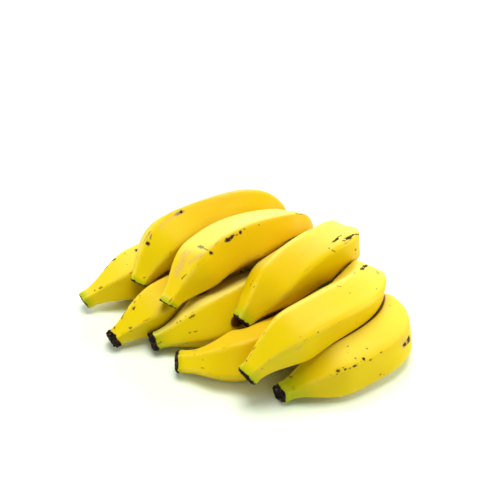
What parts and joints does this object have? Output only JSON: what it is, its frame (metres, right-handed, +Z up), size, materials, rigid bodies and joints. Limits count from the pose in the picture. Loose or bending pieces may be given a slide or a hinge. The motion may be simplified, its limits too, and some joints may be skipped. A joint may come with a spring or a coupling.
{
  "type": "hand of bananas",
  "caption": "Cut hand of short, angular dessert bananas with bottle-shaped necks and dark dried tips, nested in curved rows that meet at one crown.",
  "frame": {"origin": "under the middle of the hand's box, on the surface that it lies on", "axes": "+Z up, +Y towards the crown, X across the hand, so the fingers point along -Y"},
  "size_m": [0.201, 0.1816, 0.0755],
  "materials": {
    "peel": "satin",
    "crown": "matte"
  },
  "bodies": {
    "root": {"crown": "crown", "lower_finger_1": "peel", "lower_finger_2": "peel", "lower_finger_3": "peel", "lower_finger_4": "peel", "lower_finger_5": "peel", "upper_finger_1": "peel", "upper_finger_2": "peel", "upper_finger_3": "peel", "upper_finger_4": "peel"}
  },
  "joints": []
}
